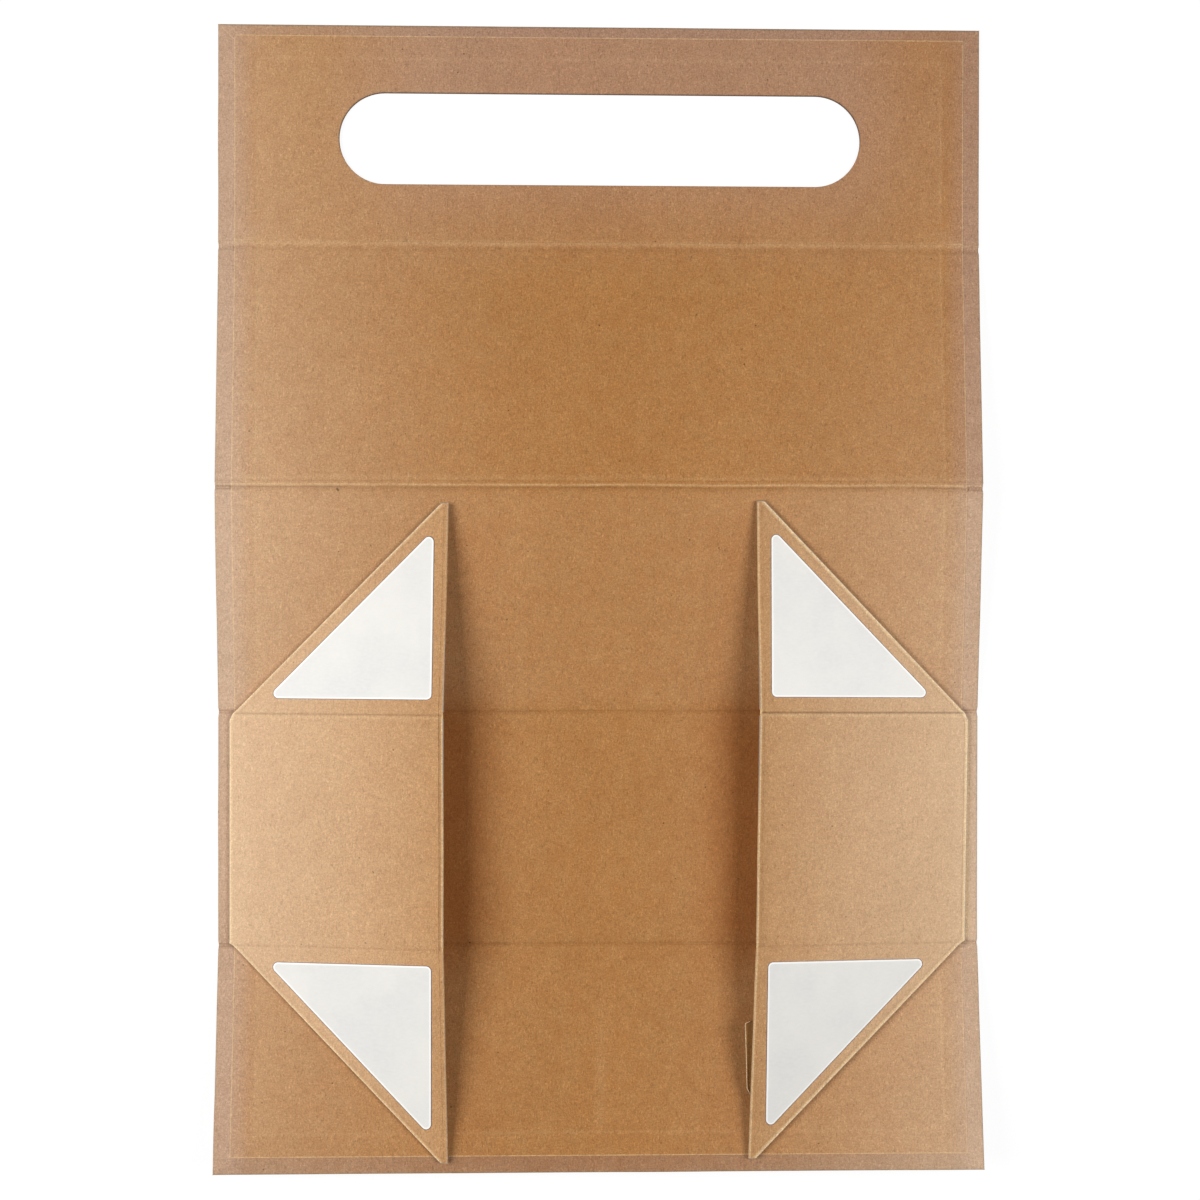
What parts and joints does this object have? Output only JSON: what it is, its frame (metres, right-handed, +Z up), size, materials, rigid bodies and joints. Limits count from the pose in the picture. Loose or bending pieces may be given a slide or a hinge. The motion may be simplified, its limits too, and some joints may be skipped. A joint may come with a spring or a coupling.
{
  "type": "wine gift box",
  "caption": "Collapsible kraft gift box for one bottle, opened out flat: hinged board panels, a closing flap with a hand hole, and end flaps with adhesive corner tabs.",
  "frame": {"origin": "centre of the underside of the base panel, on the surface that the opened-out box lies on", "axes": "+X along the bottle's length to the right end flap, +Y from the front wall to the closing flap, +Z up out of the opened box"},
  "size_m": [0.34, 0.5077, 0.022],
  "materials": {
    "greyboard": "raw grey chipboard",
    "kraft_wrap": "matt brown kraft paper",
    "kraft_lining": "matt brown kraft paper",
    "adhesive": "tacky double-sided adhesive",
    "release_liner": "smooth white silicone-coated paper"
  },
  "bodies": {
    "body": {"base_board": "greyboard", "back_wall_board": "greyboard", "front_wall_board": "greyboard", "body_outer_wrap": "kraft_wrap", "body_lining": "kraft_lining", "left_hinge_strip": "kraft_wrap", "right_hinge_strip": "kraft_wrap"},
    "lid": {"lid_board": "greyboard", "lid_outer_wrap": "kraft_wrap", "lid_lining": "kraft_lining"},
    "handle_flap": {"handle_flap_board": "greyboard", "handle_flap_outer_wrap": "kraft_wrap", "handle_flap_lining": "kraft_lining"},
    "left_end": {"left_end_board": "greyboard", "left_back_tab_board": "greyboard", "left_front_tab_board": "greyboard", "left_end_wrap": "kraft_wrap", "left_end_lining": "kraft_lining", "left_back_adhesive": "adhesive", "left_back_release_liner": "release_liner", "left_front_adhesive": "adhesive", "left_front_release_liner": "release_liner"},
    "right_end": {"right_end_board": "greyboard", "right_back_tab_board": "greyboard", "right_front_tab_board": "greyboard", "right_end_wrap": "kraft_wrap", "right_end_lining": "kraft_lining", "right_back_adhesive": "adhesive", "right_back_release_liner": "release_liner", "right_front_adhesive": "adhesive", "right_front_release_liner": "release_liner"}
  },
  "joints": [
    {"name": "lid_fold", "type": "hinge", "parent": "body", "child": "lid", "pos_m": [0, 0.15187, 0.01254], "axis": [1, 0, 0], "range_deg": [0, 96.44]},
    {"name": "handle_flap_fold", "type": "hinge", "parent": "lid", "child": "handle_flap", "pos_m": [0, 0.25899, 0.00045], "axis": [1, 0, 0], "range_deg": [0, 83.56]},
    {"name": "left_end_fold", "type": "hinge", "parent": "body", "child": "left_end", "pos_m": [-0.1646, 0, 0.0021], "axis": [0, -1, 0], "range_deg": [0, 79.5]},
    {"name": "right_end_fold", "type": "hinge", "parent": "body", "child": "right_end", "pos_m": [0.1646, 0, 0.0021], "axis": [0.0131, 0.9999, 0], "range_deg": [0, 79.5]}
  ]
}
